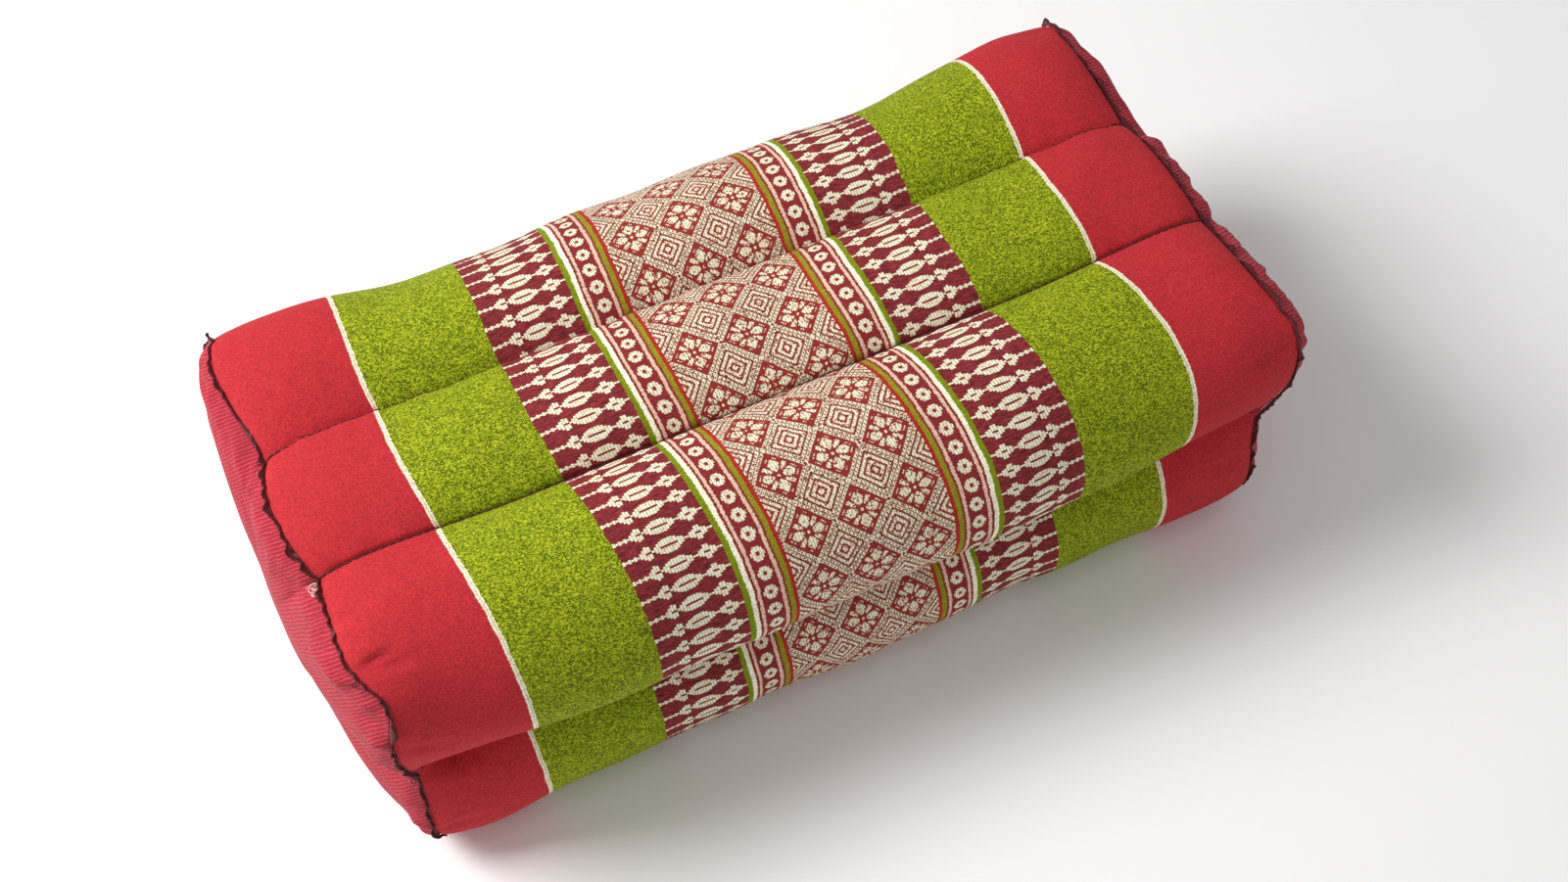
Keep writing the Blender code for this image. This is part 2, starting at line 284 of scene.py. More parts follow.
# Charts of the woven motifs. A hash is a cream float, a dot is ground.
# A quarter of a star with its frame: rows run round the cover and columns along the cushion.
STAR_CHART = (
    "#..#########....",
    "....#######..#.",
    "......####..#.",
    "#..##......#.",
    "##.####.....",
    "###.####...",
    "###..####.",
    "####..##.",
    "####....",
    "###....",
    "##....",
    "#..#.",
    "..#.",
    "...",
    "..",
    ".",
)
# The diagonal lanes outside the star's own diamond: its frame, the lattice, and the rings of the
# small square between stars. An x is a lane of dots.
FIELD_LANES = "..#x#.#x#..###..###..##"
FIELD_CELLS = 20  # in a quarter repeat, each way
FIELD_WEAR = 0.11  # share of its floats that have sunk into the ground
# Half of a comb row: one line for each column of floats from the green edge inwards, and its
# characters run from the row's axis outwards.
COMB_CHART = (
    "##........", "#.........", "##........", "#.........", "##........", "#.........",
    "###.......", "#####.....", ".######...", ".#####....",
    "#.........",
    "###.......", "#####.....", ".#####....", ".######...", ".######...", ".######...",
    ".######...", ".#####....", "####......", "###.......",
    "#.........", "#.........",
    "###.......", "####......", ".######...", ".######...", "####......", "###.......",
    "#.........", "#.........",
)
# A quarter of a rosette: one line for each column from its middle, characters from its axis outwards.
ROSETTE_CHART = ("..#####...", "#######...", "#####.....", "##........")

# Sizes of the weave, in mm.
ROW_PITCH = 7.0  # round the cover, of comb rows and rosettes
ROW_PHASE = 85.0  # where one of them lies, from the top back seam
STAR_PHASE = 99.0
STAR_ROWS = 3  # comb rows to one repeat of the star field
FIELD_REPEAT = 19.5  # along the cushion
ROSETTE_MIDDLE = 38.05
TWILL_PITCH = 1.3  # of the end panels' ribs, coarser than in truth so that they show
TWILL_TURN = 53.2  # degrees from across the panel
ROSETTE_HALF = 2.6
STAR_REACH = 9.1  # from a star's middle to the outside of its frame
SQUARE_REACH = 4.5  # from a small square's middle to the outside of its frame
DOT_SIZE = (0.56, 0.44)  # of the weave's dots, coarser than in truth so that they show

# Shades and relief of the cloths. A pair of tones says how dark and how light a texture makes its
# colour, and a span which of the texture's values they belong to.
MIXED = {"data_type": "RGBA"}  # settings of a node that mixes two colours
MULTIPLIED = {"data_type": "RGBA", "blend_type": "MULTIPLY"}
CLOTH_IOR = 1.5
CLOTH_GLOSS = 0.25
SHEEN_ROUGHNESS = 0.5
THREAD_WANDER = 0.11  # waves to a mm of cloth, as all noise scales here
NOISE_SPAN = (0.3, 0.7)
CLOUD_SCALE = 0.22
CLOUD_TONES = (0.96, 1.04)
DOT_VARIETY = 2.6  # of single dots, against the even change from one to the next
DOT_TONES = (0.7, 1.3)
GREEN_DOTS = (0.0, 0.24, 0.64)  # where dark, plain and bright green dots start
STRIPE_RAG = 0.4  # mm by which a stripe's edge strays from dot to dot
STREAK_STRETCH = (0.3, 1.6, 1.0)
STREAK_TONES = (0.5, 1.6)
# share of a column from its edge over which the painted shade between strokes fades out, and how dark it
# makes the cream
STROKE_GAP = (0.02, 0.2)
STROKE_SHADE = (0.5, 1.0)
DIP_SHARE = 0.25  # of the floats' dots that lie lower and look darker
THREAD_WAVES = (6.8, 5.4, 1.0)
THREAD_RELIEF = 0.25
FLOAT_RELIEF = 1.6
WEAVE_DEPTH = 0.12 * MM
NAP_SIZE = (2 / 3, 1 / 2)
PANEL_CLOUD_SCALE = 0.09
RIB_SPECK = 0.3
# how the ribs' values map to the painted highlight on their crests, and how strong it gets
RIB_SPAN = (0.45, 1.15)
RIB_HIGHLIGHT = 0.55
RIB_DEPTH = 0.25 * MM
TONE_SPECK = 0.35
TONE_SPAN = (0.35, 0.95)
PANEL_TONES = (0.86, 1.1)
PLY_SCALE = 1400.0  # waves to a metre
PLY_TONES = (0.7, 1.35)

# Studio, in metres, watts and millimetres of film.
Light = namedtuple("Light", "name place size power")
LIGHTS = (Light("key", (-0.74, 0.36, 0.92), 0.6, 15.0), Light("fill", (0.9, -0.9, 1.3), 1.4, 1.2))
TARGET = Vector((0.0, 0.0, 0.06))
FLOOR_HALF = 6.0  # from its middle to its edge
SKY_COLOUR = "#ffffff"
SKY_STRENGTH = 0.40
CAMERA_PLACE = (-0.1644, -0.4261, 0.7015)
CAMERA_ANGLES = (-22.37, 55.30, -3.71)  # degrees: azimuth, downwards, roll
CAMERA_LENS = 49.27
CAMERA_SENSOR = 36.0


# Sizes of the sewn pieces: name, mm and description.
SIZES = (
    ("seam_length", 334, "Length between the end seams, where a channel seam meets them"),
    ("panel_bulge", 15, "How far the filling pushes each end panel out"),
    ("panel_cloth", 1.6, "Thickness of an end panel's cloth with its seam allowance"),
    ("ridge_height", 1.15, "How far the joined edges stand up round each end"),
    ("ridge_thickness", 0.5, "Thickness of the joined edges"),
    # thick enough that the channel stitches also stand for the creases' shadow as painted shade
    ("thread", 0.74, "Diameter of the thread in the channel seams"),
    ("stitch", 3.0, "Length of one stitch in the channel seams"),
    ("overlock_pitch", 0.72, "Distance between two turns of the overlock thread"),
    ("overlock_thread", 0.3, "Diameter of the overlock thread"),
    ("crease", 0.8, "How deep the stitches pull the cloth in along a seam"),
    ("panel_gather", 3.8, "Height of the gathers of an end panel beside its ridge"),
    ("panel_crease", 5.0, "Depth of the crease between the side seams"),
    ("pucker", 0.8, "Height of the small gathers beside a seam"),
)

# Colours of the yarns and threads: name, colour and description.
COLOURS = (
    ("red", "#bc2c33", "Plain red ends of the cover"),
    ("panel_red", "#a82233", "Red cotton of the end panels"),
    # the ribs' paler crests are a painted highlight
    ("panel_rib", "#c85460", "Ribs of the end panels' twill"),
    ("green", "#7d8d04", "Plain green stripes of the cover"),
    ("green_shade", "#3e4c02", "Dark dots in the green weave"),
    ("green_light", "#b4bc22", "Bright dots in the green weave"),
    ("olive", "#948e1c", "Narrow stripe beside the star field"),
    ("bright_red", "#b02a22", "Line at the edge of the star field"),
    ("dark_red", "#8c3a30", "Line between olive and pink"),
    ("band_red", "#8c2a2e", "Ground of the rosette band"),
    ("pink", "#ebc2aa", "Fine lines beside the rosettes"),
    ("cream", "#fdf8dc", "Floating yarn of all motifs"),
    ("cream_shade", "#e8cfa8", "The same yarn where it dips"),
    ("field_ground", "#962e28", "Ground round the stars"),
    # the lattice's ground, darker and browner than the star's: painted shade of its narrow gaps between
    # floats
    ("field_gap", "#863426", "Gaps of the lattice between the stars"),
    ("comb_ground", "#802a2e", "Ground of the comb bands"),
    # dark red partly for the dense overlock thread over it and partly as painted shade of the crevice
    # beside the ridge
    ("bound_edge", "#681c24", "Cloth edge under the overlock thread"),
    ("thread", "#4a181c", "Sewing and overlock thread"),
    ("stray_thread", "#e8c4bc", "Loose pale thread ends"),
    ("floor", "#ffffff", "Pale studio floor"),
)


def linear(hex_colour):
    """An sRGB hex colour as linear RGBA."""
    parts = [int(hex_colour[i:i + 2], 16) / 255 for i in (1, 3, 5)]
    straight = [p / 12.92 if p <= 0.04045 else ((p + 0.055) / 1.055) ** 2.4 for p in parts]
    return (*straight, 1.0)


def label(name):
    return name.replace("_", " ").capitalize()


def colour_property(name, hex_colour, description):
    return bpy.props.FloatVectorProperty(
        name=label(name), description=description, subtype="COLOR", size=4, min=0.0, max=1.0,
        default=linear(hex_colour))


def length_property(name, millimetres, description):
    return bpy.props.FloatProperty(
        name=label(name), description=description, unit="LENGTH", min=0.0, precision=4,
        default=millimetres * MM)


class CushionSizes(bpy.types.PropertyGroup):
    """Sizes of the sewn pieces."""

    __annotations__ = {name: length_property(name, *rest) for name, *rest in SIZES}


class CushionColours(bpy.types.PropertyGroup):
    """Colours of the yarns and threads."""

    __annotations__ = {name: colour_property(name, *rest) for name, *rest in COLOURS}


def mix(a, b, share):
    return a + (b - a) * share


def smooth(value, low, high):
    share = min(max((value - low) / (high - low), 0.0), 1.0)
    return share * share * (3 - 2 * share)


def shoulder_rise(inset):
    """0 at the end seam and 1 past the shoulder, with the round start of a stuffed edge."""
    left = max(1.0 - inset / SHOULDER, 0.0)
    return math.sqrt(1.0 - left * left)


def bezier(a, b, c, d, t):
    s = 1.0 - t
    return tuple(
        s * s * s * p + 3 * s * s * t * q + 3 * s * t * t * r + t * t * t * u
        for p, q, r, u in zip(a, b, c, d)
    )


def section_rows(index, t):
    """The three sections' points for one line of the cover: at the end, shoulder and mid length."""
    channel = CHANNELS[index]
    first, last = SEAMS[index], SEAMS[(index + 1) % len(SEAMS)]
    return [
        bezier(getattr(first, place), *getattr(channel, place), getattr(last, place), t)
        for place in ("end", "shoulder", "middle")
    ]


def section_point(rows, inset):
    """(y, z) of the cover in metres, this far in from the end."""
    end, shoulder, middle = rows
    rise = shoulder_rise(inset)
    groove = smooth(inset, GROOVE_START, GROOVE_RUN)
    return [
        mix(e, mix(s, m, groove), rise) * MM for e, s, m in zip(end, shoulder, middle)
    ]


def crest(index, t, inset):
    """0 on a seam and 1 at a channel's middle. At the end a corner channel has two humps and a corner."""
    single = math.sin(math.pi * t)
    if not CHANNELS[index].corner:
        return single
    return mix(abs(math.sin(2 * math.pi * t)), single, smooth(inset, 0.0, SHOULDER))


def bow(index, t, side, inset):
    """How far out the cloth reaches past the channel seams, at one end and this far in from it."""
    humps = BOWS[index].left if side < 0 else BOWS[index].right
    single = math.sin(math.pi * t)
    if not CHANNELS[index].corner:
        return humps[0] * single * MM
    before, corner, after = humps
    at_end = abs(math.sin(2 * math.pi * t)) * (before if t < 0.5 else after)
    at_end += corner * single ** CORNER_BOW
    inside = (before + after) / 2 * single
    return mix(at_end, inside, smooth(inset, 0.0, SHOULDER)) * MM


def settle(z):
    """Presses what would lie below the floor flat on to it, with a soft turn up beside it."""
    if z >= FLOOR_PRESS:
        return z
    if z <= -FLOOR_PRESS:
        return 0.0
    return (z + FLOOR_PRESS) ** 2 / (4 * FLOOR_PRESS)


def lump(along, around, steepness):
    """Unevenness of the filling, which dies out at the seams and at the ends."""
    return steepness * sum(
        row.height * MM * math.sin(row.along * along + row.around * around + row.phase)
        for row in LUMPS
    )


def gathers(index, t, x, seam_distance, height):
    """Small puckers of the cloth beside a channel seam, uneven along it."""
    seam = index if t < 0.5 else index + 1
    ripple = sum(
        row.height * noise.noise(Vector((
            x / MM / row.along, seam * row.seed + row.shift, seam_distance / MM / row.away)))
        for row in PUCKERS)
    return height * math.exp(-seam_distance / PUCKER_RUN) * ripple


def dents(index, fine, x):
    """How far the listed dents press the cover in at one place."""
    depth = 0.0
    for dent in DENTS:
        if dent.channel == index:
            u, v = x / MM - dent.x, fine.across - dent.across
            if dent.across < 0:
                v -= fine.girth
            turn = math.radians(dent.turn)
            run = (u * math.cos(turn) + v * math.sin(turn)) / dent.long
            side = (v * math.cos(turn) - u * math.sin(turn)) / dent.wide
            depth += dent.depth * math.exp(-run * run - side * side) * MM
    return depth


Fine = namedtuple("Fine", "across girth")  # mm from the channel's first seam, and to its last
ON_SEAM = Fine(0.0, 50.0)  # on a seam, with the next one out of reach


def cover_point(sizes, index, t, share, rows=None, fine=None):
    """A point of the cover. share runs from -1 at the left end to 1 at the right one.

    With its place in the channel given, it also has the fine puckers, creases and dents.
    """
    inset = (1.0 - abs(share)) * sizes.seam_length / 2
    y, z = section_point(rows or section_rows(index, t), inset)
    across = math.hypot(y, z - MIDDLE_Z)
    around = math.atan2(z - MIDDLE_Z, y)
    hump = crest(index, t, inset)
    swelling = lump(math.pi * share, around, hump * shoulder_rise(inset))
    if fine is not None:
        x = share * sizes.seam_length / 2
        calm = smooth(inset, 0.0, CALM_END)
        seam_distance = min(fine.across, fine.girth - fine.across) * MM
        near = seam_distance / CREASE_WIDTH
        swelling += gathers(index, t, x, seam_distance, sizes.pucker) * calm
        swelling -= sizes.crease * math.exp(-near * near) * calm
        swelling -= dents(index, fine, x) * smooth(inset, 0.0, CREASE_WIDTH * 2)
    swell = 1.0 + swelling / across
    y *= swell
    z = MIDDLE_Z + (z - MIDDLE_Z) * swell
    drawn_in = UNDERCUT * (1.0 - smooth(z, UNDERCUT_FULL, UNDERCUT_TOP))
    reach = sizes.seam_length / 2 + bow(index, t, share, inset) - drawn_in
    return share * reach - SIDE_SHEAR * y, y, settle(z)


def panel_point(sizes, index, t, ring, side, out):
    """A point of an end panel, this far out from the filling. ring is 1 at its seam and 0 in its centre."""
    x, y, z = cover_point(sizes, index, t, side)
    y *= ring
    z = MIDDLE_Z + (z - MIDDLE_Z) * ring
    rim_x = side * sizes.seam_length / 2
    level = (z - MIDDLE_Z) / FOLD_WIDTH
    fold = 1.0 - FOLD_DEPTH * math.exp(-level * level) * smooth(abs(y), *FOLD_RUN)
    bulge = sizes.panel_bulge * (1.0 - ring * ring) ** PANEL_ROUND * fold
    x = mix(rim_x - SIDE_SHEAR * y, x, ring * ring * ring) + side * (bulge + out)
    return x, y, z


Line = namedtuple("Line", "index t along rows")  # one thread line along the cushion


def crowd(share, amount):
    """Spaces even steps from 0 to 1 closer together at both ends."""
    return mix(share, (1.0 - math.cos(math.pi * share)) / 2, amount)


def thread_lines():
    """The cover's lines from the join once round to it again, with their place in mm round the cloth."""
    lines = []
    order = [(JOIN_CHANNEL + k) % len(CHANNELS) for k in range(len(CHANNELS))]
    for index in order:
        steps = CHANNELS[index].steps
        for step in range(steps):
            t = crowd(step / steps, SEAM_CROWDING)
            lines.append((index, t, section_rows(index, t)))
    lines.append((order[-1], 1.0, section_rows(order[-1], 1.0)))
    place = [0.0]
    for (_, _, a), (_, _, b) in zip(lines, lines[1:]):
        place.append(place[-1] + math.hypot(a[2][0] - b[2][0], a[2][1] - b[2][1]))
    zero = place[[index for index, _, _ in lines].index(0)]
    return [Line(i, t, p - zero, rows) for (i, t, rows), p in zip(lines, place)]


def lay_of(index, t):
    """(drift in metres, ease) of the cloth on one thread line."""
    here, after = LAYS[index], LAYS[(index + 1) % len(LAYS)]
    nearness = smooth(1.0 - abs(2.0 * t - 1.0), 0.0, 1.0)
    seam = here if t < 0.5 else after
    drift = mix(seam.drift_seam, here.drift_middle, nearness) * MM
    return drift, mix(seam.ease_seam, here.ease_middle, nearness)


def placing(sizes):
    """Moves pieces made round the section's centre to where the solids lie."""
    points = [
        cover_point(sizes, index, step / PLACING_STEPS, share)
        for index in range(len(CHANNELS))
        for step in range(PLACING_STEPS)
        for share in PLACING_SHARES
    ]
    low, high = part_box("cushion_body")
    wanted = (low + high) / 2
    middle_y = (min(p[1] for p in points) + max(p[1] for p in points)) / 2
    return Vector((0.0, wanted.y - middle_y, 0.0))


def new_piece(name, mesh, *materials):
    """Makes a riding object of a finished bmesh."""
    data = bpy.data.meshes.new(name)
    mesh.to_mesh(data)
    mesh.free()
    for material in materials:
        data.materials.append(material)
    data.shade_smooth()
    piece = bpy.data.objects.new(name, data)
    bpy.context.scene.collection.objects.link(piece)
    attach(piece, BODY)
    return piece


def mapped_grid(columns, rows, place, cloth):
    """A grid bent to place(column, row), with a UV map of cloth(column, row) in metres."""
    mesh = bmesh.new()
    bmesh.ops.create_grid(mesh, x_segments=columns, y_segments=rows, size=1.0)
    uv = mesh.loops.layers.uv.new(CLOTH_MAP)
    row_of = mesh.verts.layers.int.new("row")
    spot = {}
    for vert in mesh.verts:
        column = round((vert.co.x + 1.0) / 2.0 * columns)
        row = round((vert.co.y + 1.0) / 2.0 * rows)
        spot[vert] = (column, row)
        vert[row_of] = row
    for face in mesh.faces:
        for loop in face.loops:
            loop[uv].uv = cloth(*spot[loop.vert])
    for vert, (column, row) in spot.items():
        vert.co = place(column, row)
    return mesh, spot


def channel_place(lines):
    """For each thread line, its place in its own channel."""
    seams = [line.along for line in lines if line.t in (0.0, 1.0)]
    found = []
    for line in lines:
        before = max((s for s in seams if s <= line.along), default=seams[0])
        if line.t == 1.0:
            before = seams[-2]
        after = seams[seams.index(before) + 1]
        found.append(Fine(line.along - before, after - before))
    return found


def cover_mesh(sizes):
    """The brocade cover: a grid of thread lines bent round the filling, and its closed ends."""
    lines = thread_lines()
    shares = [
        2.0 * crowd(step / COVER_COLUMNS, END_CROWDING) - 1.0 for step in range(COVER_COLUMNS + 1)
    ]
    points = [
        [cover_point(sizes, line.index, line.t, share, line.rows, fine) for share in shares]
        for line, fine in zip(lines, channel_place(lines))
    ]
    cloth = []
    middle = COVER_COLUMNS // 2
    for line, row in zip(lines, points):
        run = [0.0]
        for a, b in zip(row, row[1:]):
            run.append(run[-1] + math.dist(a, b))
        drift, ease = lay_of(line.index, line.t)
        cloth.append([(r - run[middle] - drift) / (1.0 + ease) for r in run])
    mesh, spot = mapped_grid(
        COVER_COLUMNS, len(lines) - 1,
        lambda column, row: points[row][column],
        lambda column, row: (cloth[row][column], lines[row].along * MM),
    )
    close_ends(mesh, spot, sizes, lines)
    joins = [v for v in mesh.verts if any(e.is_boundary for e in v.link_edges)]
    bmesh.ops.remove_doubles(mesh, verts=joins, dist=MERGE_CLOTH)
    return mesh


def close_ends(mesh, spot, sizes, lines):
    """Fills both ends of the cover with the face of the filling, just inside the end panels."""
    row_of = mesh.verts.layers.int["row"]
    for side, column in ((-1, 0), (1, COVER_COLUMNS)):
        edges = [
            e for e in mesh.edges
            if e.is_boundary and all(spot.get(v, (None,))[0] == column for v in e.verts)
        ]
        for ring, clear in CAP_RINGS:
            found = bmesh.ops.extrude_edge_only(mesh, edges=edges)["geom"]
            for vert in (g for g in found if isinstance(g, bmesh.types.BMVert)):
                line = lines[vert[row_of]]
                vert.co = panel_point(sizes, line.index, line.t, ring, side, -clear * MM)
            edges = [g for g in found if isinstance(g, bmesh.types.BMEdge)
                     and all(v in found for v in g.verts)]
        found = bmesh.ops.extrude_edge_only(mesh, edges=edges)["geom"]
        tip = [g for g in found if isinstance(g, bmesh.types.BMVert)]
        bmesh.ops.pointmerge(
            mesh, verts=tip, merge_co=panel_point(sizes, 0, 0.0, 0.0, side, -CAP_MIDDLE * MM))


def join(value, socket):
    """Gives a socket a plain value, or links it to another socket or to a node's first output in use."""
    if isinstance(value, bpy.types.Node):
        value = next(output for output in value.outputs if output.enabled)
    if isinstance(value, bpy.types.NodeSocket):
        socket.id_data.links.new(value, socket)
    else:
        socket.default_value = value


def add_node(tree, kind, *values, **settings):
    """Adds a shader node. Its kind may name an operation too, and its other settings go by name.

    The values go to its inputs in use, in order or by name in a dict.
    """
    kind, *operation = kind.split()
    node = tree.nodes.new("ShaderNode" + kind)
    if operation:
        node.operation, = operation
    for name, value in settings.items():
        setattr(node, name, value)
    if values and isinstance(values[0], dict):
        pairs = [(value, node.inputs[name]) for name, value in values[0].items()]
    else:
        pairs = list(zip(values, [socket for socket in node.inputs if socket.enabled]))
    for value, socket in pairs:
        join(value, socket)
    return node


def fill_ramp(ramp, stops):
    """Sets a constant colour ramp's stops from (position, colour) pairs."""
    ramp.interpolation = "CONSTANT"
    ramp.elements[0].position, ramp.elements[0].color = 0.0, stops[0][1]
    ramp.elements.remove(ramp.elements[1])
    for position, colour in stops[1:]:
        ramp.elements.new(position).color = colour


def chart_mask(add, chart, line, cell):
    """1 where a chart has a float. line is the number of its text line and cell of its character.

    Each line of the chart is kept as one stop of a ramp: a number whose binary digits are its cells.
    """
    size = 2.0 ** len(chart[0])
    stops = []
    for number, text in enumerate(chart):
        value = sum(2 ** place for place, mark in enumerate(text) if mark == "#") / size
        stops.append((number / len(chart), (value, value, value, 1.0)))
    spot = add("Math ADD", line, 0.5)
    spot = add("Math DIVIDE", spot, len(chart))
    ramp = add("ValToRGB", spot)
    fill_ramp(ramp.color_ramp, stops)
    row = add("SeparateColor", ramp)
    # a quarter more than the whole number keeps the division clear of rounding
    row = add("Math MULTIPLY_ADD", row, size, 0.25)
    weight = add("Math POWER", 2.0, cell)
    row = add("Math DIVIDE", row, weight)
    row = add("Math FLOOR", row)
    return add("Math MODULO", row, 2.0)


def field_chart():
    """The star field's quarter repeat, from a star's middle to the middle of a small square."""
    marks = {"#": "##", ".": "..", "x": "#."}
    lines = []
    for row in range(FIELD_CELLS):
        line = STAR_CHART[row] if row < len(STAR_CHART) else ""
        for column in range(len(line), FIELD_CELLS):
            lane = FIELD_LANES[column + row - len(STAR_CHART)]
            line += marks[lane][(column - row) // 2 % 2]
        lines.append(line)
    return lines


def cell_number(add, value, pitch, count):
    """A distance in mm as a number of cells, and the whole number of its cell from 0 to count - 1."""
    cells = add("Math DIVIDE", value, pitch)
    whole = add("Math FLOOR", cells)
    low = add("Math MAXIMUM", whole, 0.0)
    return cells, add("Math MINIMUM", low, count - 1.0)


def between(add, value, low, high):
    """1 where a distance lies between two edges."""
    above = add("Math GREATER_THAN", value, low)
    below = add("Math LESS_THAN", value, high)
    return add("Math MULTIPLY", above, below)


def single_dots(add, place, size):
    """Cells of this size in mm, and a white noise that gives each its own number and colour."""
    cell = add("VectorMath DIVIDE", place, (*size, 1.0))
    cell = add("VectorMath FLOOR", cell)
    return cell, add("TexWhiteNoise", cell, noise_dimensions="2D")


def cloth_shader(name, roughness, sheen):
    """A new matt cloth material, a function that adds nodes to it, and its shader."""
    material = bpy.data.materials.new(name)
    material.use_nodes = True
    shader = material.node_tree.nodes["Principled BSDF"]
    settings = {
        "Roughness": roughness, "IOR": CLOTH_IOR, "Specular IOR Level": CLOTH_GLOSS,
        "Sheen Weight": sheen, "Sheen Roughness": SHEEN_ROUGHNESS,
    }
    for socket, value in settings.items():
        shader.inputs[socket].default_value = value
    return material, partial(add_node, material.node_tree), shader


def cloth_millimetres(add):
    """The cloth's own UV map in mm, with the slight wander of its threads."""
    cloth = add("UVMap", uv_map=CLOTH_MAP)
    scaled = add("VectorMath SCALE", cloth, 1.0 / MM)
    wander = add("TexNoise", {"Vector": scaled, "Scale": THREAD_WANDER, "Detail": 1.5})
    centred = add("VectorMath SUBTRACT", wander.outputs["Color"], (0.5, 0.5, 0.5))
    return add("VectorMath MULTIPLY_ADD", centred, (1.0, 1.0, 0.0), scaled)


def ground_bands(add, colours, place, off, ragged, speck, tone):
    """Colours of the cover without its floats: narrow stripes, comb ground, green and red."""
    spot = add("MapRange", ragged, NARROW_START, NARROW_END, 0.0, 1.0)
    narrow = add("ValToRGB", spot)
    span = NARROW_END - NARROW_START
    starts = [0.0] + [(stripe.edge - NARROW_START) / span for stripe in NARROW_STRIPES]
    names = [stripe.colour for stripe in NARROW_STRIPES] + ["comb_ground"]
    fill_ramp(narrow.color_ramp, [(a, tuple(getattr(colours, b))) for a, b in zip(starts, names)])
    bands = add("Mix", 1.0, narrow, tone, **MULTIPLIED)

    # Streaks of the comb ground, drawn out along the cushion
    drawn = add("VectorMath MULTIPLY", place, STREAK_STRETCH)
    streak = add("TexNoise", {"Vector": drawn, "Scale": 1.0, "Detail": 2.0})
    streak = add("MapRange", streak, *NOISE_SPAN, *STREAK_TONES)
    in_comb = between(add, off, COMB_INNER, COMB_OUTER)
    streaked = add("Mix", 1.0, bands, streak, **MULTIPLIED)
    bands = add("Mix", in_comb, bands, streaked, **MIXED)

    green = add("ValToRGB", speck)
    names = ("green_shade", "green", "green_light")
    fill_ramp(green.color_ramp, [(a, tuple(getattr(colours, b))) for a, b in zip(GREEN_DOTS, names)])
    in_green = add("Math GREATER_THAN", ragged, COMB_OUTER)
    bands = add("Mix", in_green, bands, green, **MIXED)
    in_red = add("Math GREATER_THAN", off, EDGE_STRIPE)
    red = add("Mix", 1.0, tuple(colours.red), tone, **MULTIPLIED)
    bands = add("Mix", in_red, bands, red, **MIXED)
    clouds = add("TexNoise", {"Vector": place, "Scale": CLOUD_SCALE, "Detail": 3.0})
    clouds = add("MapRange", clouds, *NOISE_SPAN, *CLOUD_TONES)
    return in_comb, add("Mix", 1.0, bands, clouds, **MULTIPLIED)


def star_field(add, colours, place, along, around, off, tone):
    """Floats of the star field, the ground round them, and where the field lies."""
    half = FIELD_REPEAT / 2
    fold_u = add("Math PINGPONG", along, half)
    _, cell = cell_number(add, fold_u, half / FIELD_CELLS, FIELD_CELLS)
    star_half = ROW_PITCH * STAR_ROWS / 2
    from_star = add("Math SUBTRACT", around, STAR_PHASE)
    fold_v = add("Math PINGPONG", from_star, star_half)
    _, line = cell_number(add, fold_v, star_half / FIELD_CELLS, FIELD_CELLS)
    floats = chart_mask(add, field_chart(), line, cell)
    _, worn = single_dots(add, place, (half / FIELD_CELLS, star_half / FIELD_CELLS))
    kept = add("Math GREATER_THAN", worn, FIELD_WEAR)
    floats = add("Math MULTIPLY", floats, kept)
    in_field = add("Math LESS_THAN", off, NARROW_STRIPES[0].edge)
    floats = add("Math MULTIPLY", floats, in_field)
    reach = add("Math ADD", fold_u, fold_v)
    lattice = between(add, reach, STAR_REACH, half + star_half - SQUARE_REACH)
    # in the lattice the ground is painted darker, as shade in its narrow gaps
    ground = add("Mix", lattice, tuple(colours.field_ground), tuple(colours.field_gap), **MIXED)
    return floats, add("Mix", 1.0, ground, tone, **MULTIPLIED), in_field


def comb_and_rosettes(add, around, off, in_comb):
    """Floats of the comb bands and of the rosettes, which share one pitch, and the comb's columns."""
    row_half = ROW_PITCH / 2
    from_row = add("Math SUBTRACT", around, ROW_PHASE)
    fold_row = add("Math PINGPONG", from_row, row_half)
    depth = len(COMB_CHART[0])
    _, cell = cell_number(add, fold_row, row_half / depth, depth)
    inwards = add("Math SUBTRACT", COMB_OUTER, off)
    columns, line = cell_number(
        add, inwards, (COMB_OUTER - COMB_INNER) / len(COMB_CHART), len(COMB_CHART))
    comb = chart_mask(add, COMB_CHART, line, cell)
    comb = add("Math MULTIPLY", comb, in_comb)
    from_middle = add("Math SUBTRACT", off, ROSETTE_MIDDLE)
    from_middle = add("Math ABSOLUTE", from_middle)
    _, line = cell_number(add, from_middle, ROSETTE_HALF / len(ROSETTE_CHART), len(ROSETTE_CHART))
    rosette = chart_mask(add, ROSETTE_CHART, line, cell)
    near = add("Math LESS_THAN", from_middle, ROSETTE_HALF)
    rosette = add("Math MULTIPLY", rosette, near)
    return add("Math ADD", comb, rosette), columns


